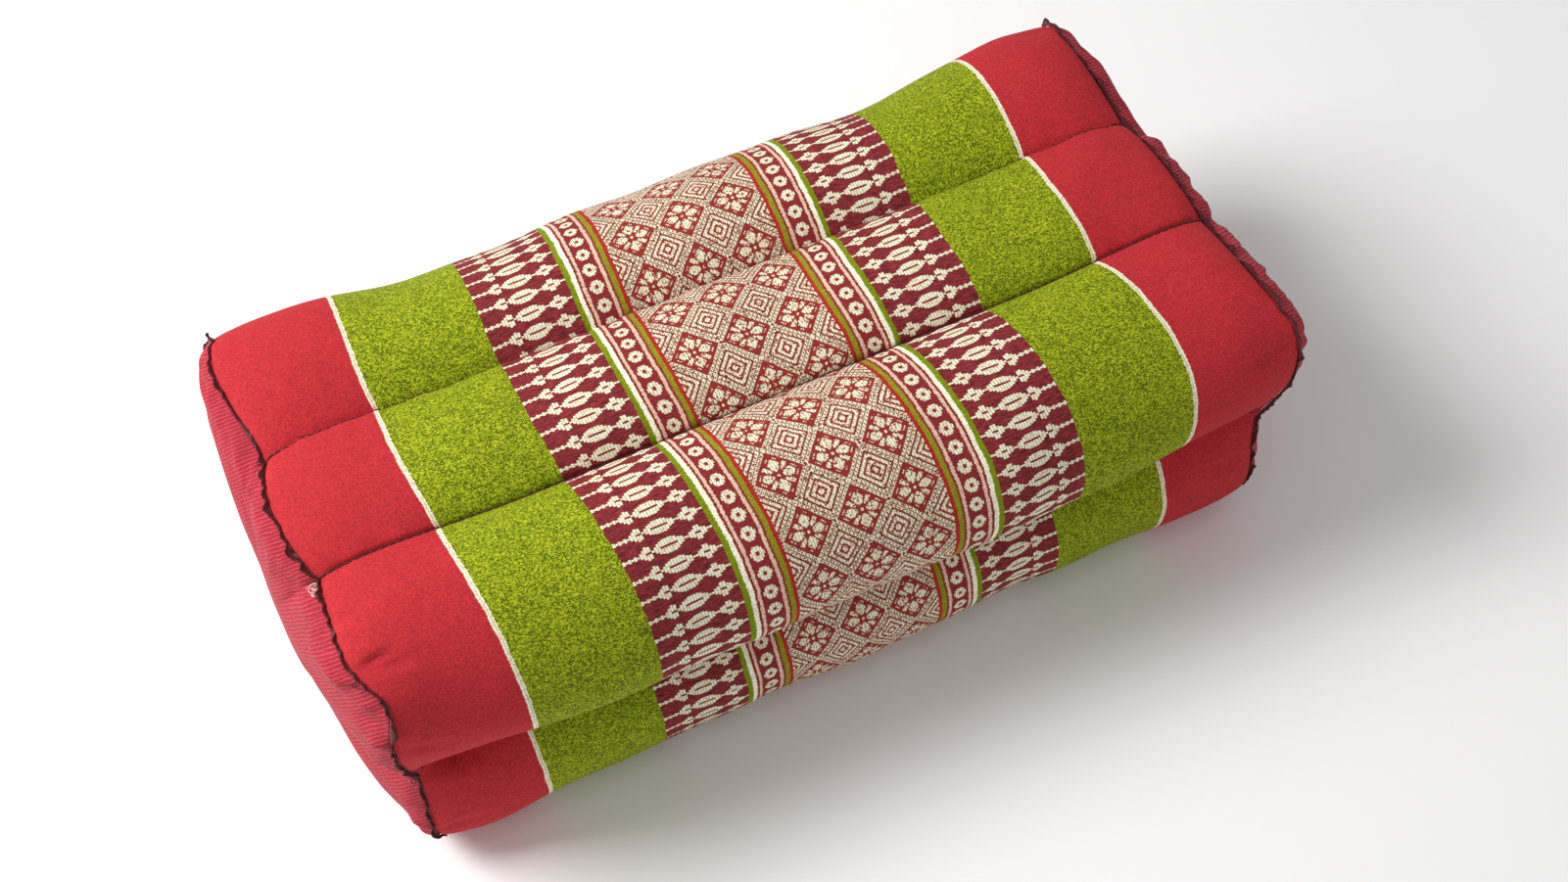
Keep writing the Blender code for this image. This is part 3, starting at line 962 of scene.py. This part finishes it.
def woven_brocade(colours):
    """Cotton brocade with floating cream yarn, woven in lengthwise bands.

    The cream floats stand a little proud of a darker, slightly mottled ground, and the plain bands
    show the crisp dots of their two-tone weave.
    """
    material, add, shader = cloth_shader("woven cotton brocade", roughness=0.9, sheen=0.0)
    place = cloth_millimetres(add)
    axes = add("SeparateXYZ", place)
    along, around = axes.outputs[0], axes.outputs[1]
    off = add("Math ABSOLUTE", along)

    # Dots of the weave: every other one darker, and each a little different
    cell, dots = single_dots(add, place, DOT_SIZE)
    turn_about = add("VectorMath DOT_PRODUCT", cell, (1.0, 1.0, 0.0))
    turn_about = add("Math PINGPONG", turn_about, 1.0)
    speck = add("Math MULTIPLY_ADD", dots, DOT_VARIETY, turn_about)
    speck = add("Math DIVIDE", speck, DOT_VARIETY + 1.0)
    tone = add("MapRange", speck, 0.0, 1.0, *DOT_TONES)
    other = add("SeparateColor", dots.outputs["Color"])
    ragged = add("Math MULTIPLY_ADD", other.outputs[1], STRIPE_RAG, off)
    ragged = add("Math SUBTRACT", ragged, STRIPE_RAG / 2)

    in_comb, ground = ground_bands(add, colours, place, off, ragged, speck, tone)
    field, field_ground, in_field = star_field(add, colours, place, along, around, off, tone)
    ground = add("Mix", in_field, ground, field_ground, **MIXED)
    motifs, columns = comb_and_rosettes(add, around, off, in_comb)
    on_edge = add("Math COMPARE", ragged, EDGE_STRIPE, EDGE_STRIPE_HALF)

    # Cream floats: single strokes, each painted darker towards its edges as shade in the gap between them
    floats = add("Math ADD", field, motifs)
    floats = add("Math MAXIMUM", floats, on_edge)
    stroke_shade_and_relief = add("Math PINGPONG", columns, 0.5)
    stroke_shade_and_relief = add("MapRange", stroke_shade_and_relief, *STROKE_GAP, *STROKE_SHADE)
    dip = add("Math GREATER_THAN", other.outputs[2], 1.0 - DIP_SHARE)
    cream = add("Mix", dip, tuple(colours.cream), tuple(colours.cream_shade), **MIXED)
    cream = add("Mix", 1.0, cream, stroke_shade_and_relief, **MULTIPLIED)
    join(add("Mix", floats, ground, cream, **MIXED), shader.inputs["Base Color"])

    # Relief of floats and threads
    threads = add("VectorMath MULTIPLY", place, THREAD_WAVES)
    threads = add("VectorMath SINE", threads)
    split = add("SeparateXYZ", threads)
    weave = add("Math MULTIPLY", split.outputs[0], split.outputs[1])
    height = add("Math MULTIPLY_ADD", weave, THREAD_RELIEF, speck)
    raised = add("Math MULTIPLY", floats, stroke_shade_and_relief)
    height = add("Math MULTIPLY_ADD", raised, FLOAT_RELIEF, height)
    bump = add("Bump", {"Height": height, "Strength": 0.6, "Distance": WEAVE_DEPTH})
    join(bump, shader.inputs["Normal"])
    return material


def red_cotton(colours):
    """Plain red cotton twill of the end panels: matt, with slanting ribs whose crests are painted paler as
    a highlight, and a soft nap.
    """
    material, add, shader = cloth_shader("red cotton twill", roughness=0.9, sheen=0.05)
    place = cloth_millimetres(add)
    turned = add("Mapping", {"Vector": place, "Rotation": (0.0, 0.0, math.radians(TWILL_TURN))})
    # a wave texture of this scale has one band for each pitch
    scale = 2 * math.pi / 20 / TWILL_PITCH
    ribs = add(
        "TexWave",
        {"Vector": turned, "Scale": scale, "Distortion": 1.6, "Detail": 1.0, "Detail Scale": 1.2},
        bands_direction="Y")
    ribs = ribs.outputs["Fac"]
    _, speck = single_dots(add, turned, NAP_SIZE)
    clouds = add("TexNoise", {"Vector": place, "Scale": PANEL_CLOUD_SCALE, "Detail": 4.0})
    # the ribs' crests are mixed towards the paler rib colour as a painted highlight
    rib_highlight = add("Math MULTIPLY_ADD", speck, RIB_SPECK, ribs)
    rib_highlight = add("MapRange", rib_highlight, *RIB_SPAN, 0.0, RIB_HIGHLIGHT)
    tone = add("Math MULTIPLY_ADD", speck, TONE_SPECK, clouds)
    tone = add("MapRange", tone, *TONE_SPAN, *PANEL_TONES)
    colour = add("Mix", rib_highlight, tuple(colours.panel_red), tuple(colours.panel_rib), **MIXED)
    join(add("Mix", 1.0, colour, tone, **MULTIPLIED), shader.inputs["Base Color"])
    bump = add("Bump", {"Height": ribs, "Strength": 0.6, "Distance": RIB_DEPTH})
    join(bump, shader.inputs["Normal"])
    return material


def thread_material(name, colour):
    """Spun polyester thread, made once: fine mottled plies and a faint gloss."""
    if name in bpy.data.materials:
        return bpy.data.materials[name]
    material, add, shader = cloth_shader(name, roughness=0.65, sheen=0.1)
    place = add("TexCoord").outputs["Object"]
    plies = add("TexNoise", {"Vector": place, "Scale": PLY_SCALE})
    shade = add("MapRange", plies, *NOISE_SPAN, *PLY_TONES)
    join(add("Mix", 1.0, tuple(colour), shade, **MULTIPLIED), shader.inputs["Base Color"])
    return material


def finish_mesh(mesh, move):
    """Sets the mesh in its place with its faces outwards."""
    bmesh.ops.translate(mesh, vec=move, verts=mesh.verts)
    bmesh.ops.recalc_face_normals(mesh, faces=mesh.faces)


class CUSHION_OT_cover(bpy.types.Operator):
    """Makes the brocade cover over the filling"""

    bl_idname = "cushion.cover"
    bl_label = "Brocade Cover"

    def execute(self, context):
        sizes = context.scene.cushion_sizes
        mesh = cover_mesh(sizes)
        finish_mesh(mesh, placing(sizes))
        brocade = woven_brocade(context.scene.cushion_colours)
        cover = new_piece("brocade_cover", mesh, brocade)
        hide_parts("cushion_body")
        return {"FINISHED"}


def panel_relief(sizes, along, from_edge, y, z, side):
    """Gathers beside the ridge and the crease between the side seams, out from an end panel."""
    ripple = sum(
        row.height * noise.noise(
            Vector((along / row.along, from_edge / MM / row.away, side * row.seed)))
        for row in PANEL_GATHERS)
    start = 1.0 - math.exp(-from_edge / PANEL_START)
    relief = sizes.panel_gather * ripple * start * math.exp(-from_edge / PANEL_GATHER_RUN)
    soft = PANEL_SOFT
    lump_here = noise.noise(Vector((y / MM / soft.along, z / MM / soft.away, side * soft.seed)))
    relief += soft.height * MM * lump_here * smooth(from_edge, 0.0, PANEL_SOFT_START)
    stray = noise.noise(Vector((y / MM / CREASE_STRAY.length, side * CREASE_SEED, 0.0)))
    level = z - MIDDLE_Z - PANEL_CREASE_LEVEL + stray * CREASE_STRAY.reach * MM
    level /= PANEL_CREASE_WIDTH
    relief -= sizes.panel_crease * math.exp(-level * level) * smooth(abs(y), *PANEL_CREASE_RUN) * start
    lobe = smooth(MIDDLE_Z - z, 0.0, LOWER_LOBE_TURN) * smooth(from_edge, 0.0, LOWER_LOBE_START)
    return relief - LOWER_LOBE * lobe


def panel_mesh(sizes, side):
    """An end panel as one stretched sheet, its edge tucked in just behind the ridge."""
    lines = thread_lines()
    points = {}
    for row, line in enumerate(lines):
        for column in range(PANEL_RINGS + 1):
            ring = math.sin(math.pi / 2 * (1.0 - column / PANEL_RINGS))
            out = mix(sizes.ridge_thickness, sizes.panel_cloth, smooth(1.0 - ring, 0.0, PANEL_RIM))
            x, y, z = panel_point(sizes, line.index, line.t, ring, side, GAP + out)
            radius = math.hypot(y, z - MIDDLE_Z) / max(ring, PANEL_CENTRE)
            relief = panel_relief(sizes, line.along, (1.0 - ring) * radius, y, z, side)
            points[column, row] = (x + side * relief * smooth(ring, 0.0, PANEL_CALM), y, z)
    mesh, _ = mapped_grid(
        PANEL_RINGS, len(lines) - 1,
        lambda column, row: points[column, row],
        lambda column, row: points[column, row][1:])
    bmesh.ops.remove_doubles(mesh, verts=mesh.verts, dist=MERGE_CLOTH)
    return mesh


class CUSHION_OT_end_panels(bpy.types.Operator):
    """Makes the red cotton panel at each end"""

    bl_idname = "cushion.end_panels"
    bl_label = "End Panels"

    def execute(self, context):
        sizes = context.scene.cushion_sizes
        cotton = red_cotton(context.scene.cushion_colours)
        for name, side in SIDES:
            mesh = panel_mesh(sizes, side)
            finish_mesh(mesh, placing(sizes))
            outwards = sum(face.normal.x * face.calc_area() for face in mesh.faces) * side
            if outwards < 0:
                bmesh.ops.reverse_faces(mesh, faces=mesh.faces)
            panel = new_piece("end_panel_cloth_" + name, mesh, cotton)
            thickness = panel.modifiers.new("cloth", "SOLIDIFY")
            thickness.thickness = PANEL_SHEET
            thickness.offset = -1.0
            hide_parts("end_panel_" + name)
        return {"FINISHED"}


def ridge_outline(sizes, side, steps):
    """Points of the end seam, with their direction out across the cushion, at even steps."""
    lines = thread_lines()[:-1]
    points = [Vector(cover_point(sizes, line.index, line.t, side)) for line in lines]
    lengths = [(points[k] - points[k - 1]).length for k in range(len(points))]
    total = sum(lengths)
    found = []
    spot, passed = 0, 0.0
    for step in range(steps):
        wanted = total * step / steps
        while passed + lengths[(spot + 1) % len(points)] < wanted:
            passed += lengths[(spot + 1) % len(points)]
            spot += 1
        after = (spot + 1) % len(points)
        found.append(points[spot].lerp(points[after], (wanted - passed) / lengths[after]))
    outline = []
    for step, here in enumerate(found):
        run = (found[(step + RUN_REACH) % steps] - found[step - RUN_REACH]).normalized()
        out = Vector((0.0, -run.z, run.y)).normalized()
        if out.dot(here - Vector((here.x, 0.0, MIDDLE_Z))) < 0:
            out.negate()
        outline.append((here, run, out))
    return outline, total


def ridge_frame(sizes, side):
    """For each step round the end: the ridge's foot, run and rise, how far it waves out and how tall
    it stands."""
    outline, total = ridge_outline(sizes, side, RIDGE_STEPS)
    corner = max((here for here, _, _ in outline), key=lambda here: here.y + here.z)
    feet = []
    for step, (here, run, out) in enumerate(outline):
        turn = 2 * math.pi * step / RIDGE_STEPS
        spot = Vector((math.cos(turn), math.sin(turn), 0.0)) * total / MM / (2 * math.pi)
        stray = Vector((0.0, 0.0, RIDGE_SEED * side))
        wave = sum(w.reach * noise.noise(spot / w.length + stray * w.length) for w in RIDGE_WAVES)
        rise = sum(w.reach * noise.noise(spot / w.length + stray) for w in RIDGE_RISES)
        ear = math.exp(-((here - corner).length / (EAR_WIDTH * MM)) ** 2)
        tall = sizes.ridge_height + (rise + EAR_HEIGHT * ear) * MM
        feet.append((here, run, out, wave * MM, tall))
    return feet, total


def ridge_mesh(sizes, side):
    """The joined edges of cover and panel, standing up round the end as one wavy strip."""
    feet, total = ridge_frame(sizes, side)

    def place(column, row):
        here, _, out, wave, tall = feet[row % RIDGE_STEPS]
        high, lean, thick = RIDGE_PROFILE[column]
        sideways = GAP + (RIDGE_LEAN + wave) * lean + sizes.ridge_thickness * thick
        return here + out * (tall * high or GAP) + Vector((side * sideways, 0.0, 0.0))

    mesh, _ = mapped_grid(
        len(RIDGE_PROFILE) - 1, RIDGE_STEPS, place,
        lambda column, row: (total * row / RIDGE_STEPS, column * RIDGE_CLOTH))
    bmesh.ops.remove_doubles(mesh, verts=mesh.verts, dist=MERGE_RIDGE)
    return mesh


class CUSHION_OT_ridges(bpy.types.Operator):
    """Makes the standing seam round each end"""

    bl_idname = "cushion.ridges"
    bl_label = "Seam Ridges"

    def execute(self, context):
        sizes = context.scene.cushion_sizes
        # the ridge's cloth is dark partly for its overlock thread and partly as painted shade of the
        # crevice beside it
        edge = thread_material("overlocked cloth edge and painted shade", context.scene.cushion_colours.bound_edge)
        for name, side in SIDES:
            mesh = ridge_mesh(sizes, side)
            finish_mesh(mesh, placing(sizes))
            ridge = new_piece("seam_ridge_cloth_" + name, mesh, edge)
            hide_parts("seam_ridge_" + name)
        return {"FINISHED"}


def thread_piece(name, strands, thickness, move, material):
    """Makes lengths of thread one riding piece: round tubes through points, closed at both ends."""
    data = bpy.data.curves.new(name, "CURVE")
    data.dimensions = "3D"
    data.bevel_depth = thickness / 2
    data.bevel_resolution = 1
    data.use_fill_caps = True
    for strand in strands:
        spline = data.splines.new("POLY")
        spline.points.add(len(strand) - 1)
        for point, place in zip(spline.points, strand):
            point.co = (*(place + move), 1.0)
    curve = bpy.data.objects.new(name + "_curve", data)
    tube = bpy.data.meshes.new_from_object(curve)
    mesh = bmesh.new()
    mesh.from_mesh(tube)
    bpy.data.objects.remove(curve)
    bpy.data.meshes.remove(tube)
    bmesh.ops.remove_doubles(mesh, verts=mesh.verts, dist=MERGE_THREAD)
    bmesh.ops.recalc_face_normals(mesh, faces=mesh.faces)
    piece = new_piece(name, mesh, material)
    return piece


def overlock_turns(sizes, side):
    """The overlock thread's turns over the edge of one ridge, as lists of points."""
    feet, total = ridge_frame(sizes, side)
    turns = int(total / sizes.overlock_pitch)
    thick = sizes.ridge_thickness
    outwards = Vector((side, 0.0, 0.0))
    strands = []
    for turn in range(turns):
        here, run, out, wave, tall = feet[int(turn * RIDGE_STEPS / turns)]
        lean = GAP + RIDGE_LEAN + wave
        slant = run * sizes.overlock_pitch / 2
        stray = OVERLOCK_STRAY.reach * noise.noise(here / (OVERLOCK_STRAY.length * MM))
        low = tall - OVERLOCK_REACH * (1.0 + stray)
        foot, shoulder = lean * low / tall - TURN_FOOT, lean - TURN_SHOULDER
        far_foot, far_shoulder = lean * low / tall + thick + TURN_FOOT, lean + thick + TURN_SHOULDER
        strands.append([
            here + out * low + outwards * foot - slant,
            here + out * tall * TURN_LEVEL + outwards * shoulder - slant * TURN_SLANT,
            here + out * (tall + TURN_TOP) + outwards * (lean + thick / 2),
            here + out * tall * TURN_LEVEL + outwards * far_shoulder + slant * TURN_SLANT,
            here + out * low + outwards * far_foot + slant,
        ])
    return strands


class CUSHION_OT_overlock(bpy.types.Operator):
    """Makes the overlock thread over both ridges"""

    bl_idname = "cushion.overlock"
    bl_label = "Overlock Thread"

    def execute(self, context):
        sizes = context.scene.cushion_sizes
        thread = thread_material("dark sewing thread", context.scene.cushion_colours.thread)
        for name, side in SIDES:
            thread_piece("overlock_" + name, overlock_turns(sizes, side), sizes.overlock_thread,
                         placing(sizes), thread)
        return {"FINISHED"}


def channel_stitches(sizes):
    """Stitches along the six channel seams, lifted near the creases' mouths so that their dark thread also
    stands for the creases' shadow as painted shade, as lists of points.
    """
    count = int(sizes.seam_length / sizes.stitch)
    strands = []
    for index in range(len(SEAMS)):
        for number in range(count):
            points = []
            for part, sink in STITCH_ARCH:
                share = 2.0 * (number + 0.5 + part) / count - 1.0
                here = Vector(cover_point(sizes, index, 0.0, share, None, ON_SEAM))
                inwards = (Vector((here.x, 0.0, MIDDLE_Z)) - here).normalized()
                points.append(here + inwards * sink * MM)
            strands.append(points)
    return strands


class CUSHION_OT_channel_stitches(bpy.types.Operator):
    """Makes the stitches that divide the filling into channels"""

    bl_idname = "cushion.channel_stitches"
    bl_label = "Channel Stitches"

    def execute(self, context):
        sizes = context.scene.cushion_sizes
        thread = thread_material("dark sewing thread", context.scene.cushion_colours.thread)
        thread_piece("channel_stitches", channel_stitches(sizes), sizes.thread, placing(sizes), thread)
        return {"FINISHED"}


def curl(start, out, radius, length, seed):
    """A loose thread end: a small tangle that leaves its seam and winds back on itself."""
    points = []
    for step in range(CURL_STEPS + 1):
        share = step / CURL_STEPS
        stray = noise.noise_vector(Vector((seed, share * CURL_STRAY, 0.0))) * radius
        angle = seed + share * 2 * math.pi * CURL_TURNS
        ring = Vector((math.cos(angle), math.sin(angle), CURL_LIFT * math.sin(2 * angle))) * radius
        grown = smooth(share, 0.0, CURL_START)
        points.append(start + out * length * mix(CURL_FOOT, 1.0, share) + (ring + stray) * grown)
    return points


class CUSHION_OT_thread_ends(bpy.types.Operator):
    """Makes the knots and loose thread ends where channel seams meet the ridges"""

    bl_idname = "cushion.thread_ends"
    bl_label = "Thread Ends"

    def execute(self, context):
        sizes = context.scene.cushion_sizes
        colours = context.scene.cushion_colours
        kinds = (
            ("thread_ends_dark", "dark sewing thread", colours.thread, sizes.overlock_thread * DARK_END),
            ("thread_ends_pale", "pale sewing thread", colours.stray_thread, sizes.overlock_thread),
        )
        # without a seed the vector noise of the curls would start from the clock
        noise.seed_set(CURL_SEED)
        for piece, kind, colour, thickness in kinds:
            thread = thread_material(kind, colour)
            strands = []
            for end in THREAD_ENDS:
                if end.piece == piece:
                    foot = Vector(cover_point(sizes, end.seam, end.t, end.side))
                    along, outwards = END_LEAN
                    out = Vector((end.side * along, foot.y * outwards, (foot.z - MIDDLE_Z) * outwards))
                    out.normalize()
                    start = foot + out * end.lift * MM
                    strands.append(curl(start, out, end.radius * MM, end.length * MM, end.seed))
            thread_piece(piece, strands, thickness, placing(sizes), thread)
        return {"FINISHED"}


def soft_light(row):
    """A square studio light that points at the cushion."""
    data = bpy.data.lights.new(row.name, "AREA")
    data.shape = "SQUARE"
    data.size = row.size
    data.energy = row.power
    light = bpy.data.objects.new(row.name, data)
    light.location = row.place
    light.rotation_euler = (TARGET - light.location).to_track_quat("-Z", "Y").to_euler()
    bpy.context.scene.collection.objects.link(light)


class CUSHION_OT_stage(bpy.types.Operator):
    """Sets the pale floor, the soft lights and the camera"""

    bl_idname = "cushion.stage"
    bl_label = "Studio"

    def execute(self, context):
        scene = context.scene
        mesh = bmesh.new()
        bmesh.ops.create_grid(mesh, x_segments=1, y_segments=1, size=FLOOR_HALF)
        data = bpy.data.meshes.new("studio_floor")
        mesh.to_mesh(data)
        mesh.free()
        floor = bpy.data.objects.new("studio_floor", data)
        scene.collection.objects.link(floor)
        # matt white paper, on which the shadow lies soft and without a gleam
        material, _, shader = cloth_shader("pale studio paper", roughness=0.9, sheen=0.0)
        shader.inputs["Base Color"].default_value = tuple(scene.cushion_colours.floor)
        data.materials.append(material)

        world = bpy.data.worlds.new("studio")
        world.use_nodes = True
        sky = world.node_tree.nodes["Background"]
        sky.inputs["Color"].default_value = linear(SKY_COLOUR)
        sky.inputs["Strength"].default_value = SKY_STRENGTH
        scene.world = world
        for row in LIGHTS:
            soft_light(row)

        data = bpy.data.cameras.new("camera")
        data.sensor_width = CAMERA_SENSOR
        data.lens = CAMERA_LENS
        camera = bpy.data.objects.new("camera", data)
        azimuth, elevation, roll = (math.radians(angle) for angle in CAMERA_ANGLES)
        ahead = Vector((
            -math.sin(azimuth) * math.cos(elevation),
            math.cos(azimuth) * math.cos(elevation),
            -math.sin(elevation),
        ))
        camera.location = CAMERA_PLACE
        camera.rotation_mode = "QUATERNION"
        camera.rotation_quaternion = (
            ahead.to_track_quat("-Z", "Y") @ Quaternion((0.0, 0.0, 1.0), roll))
        scene.collection.objects.link(camera)
        scene.camera = camera
        scene.view_settings.view_transform = "Standard"
        return {"FINISHED"}


class CUSHION_PT_pieces(bpy.types.Panel):
    """Lists the cushion's pieces"""

    bl_idname = "CUSHION_PT_pieces"
    bl_label = "Block Cushion"
    bl_space_type = "VIEW_3D"
    bl_region_type = "UI"
    bl_category = "Cushion"

    def draw(self, context):
        for operator in OPERATORS:
            self.layout.operator(operator.bl_idname)
        for group in (context.scene.cushion_sizes, context.scene.cushion_colours):
            for name in group.__annotations__:
                self.layout.prop(group, name)


OPERATORS = (
    CUSHION_OT_cover,
    CUSHION_OT_end_panels,
    CUSHION_OT_ridges,
    CUSHION_OT_overlock,
    CUSHION_OT_channel_stitches,
    CUSHION_OT_thread_ends,
    CUSHION_OT_stage,
)
CLASSES = (CushionSizes, CushionColours, *OPERATORS, CUSHION_PT_pieces)


def register():
    for item in CLASSES:
        bpy.utils.register_class(item)
    bpy.types.Scene.cushion_sizes = bpy.props.PointerProperty(type=CushionSizes)
    bpy.types.Scene.cushion_colours = bpy.props.PointerProperty(type=CushionColours)


def unregister():
    del bpy.types.Scene.cushion_colours
    del bpy.types.Scene.cushion_sizes
    for item in reversed(CLASSES):
        bpy.utils.unregister_class(item)


def main():
    register()
    bpy.ops.cushion.cover()
    bpy.ops.cushion.end_panels()
    bpy.ops.cushion.ridges()
    bpy.ops.cushion.overlock()
    bpy.ops.cushion.channel_stitches()
    bpy.ops.cushion.thread_ends()
    bpy.ops.cushion.stage()


if __name__ == "__main__":
    main()
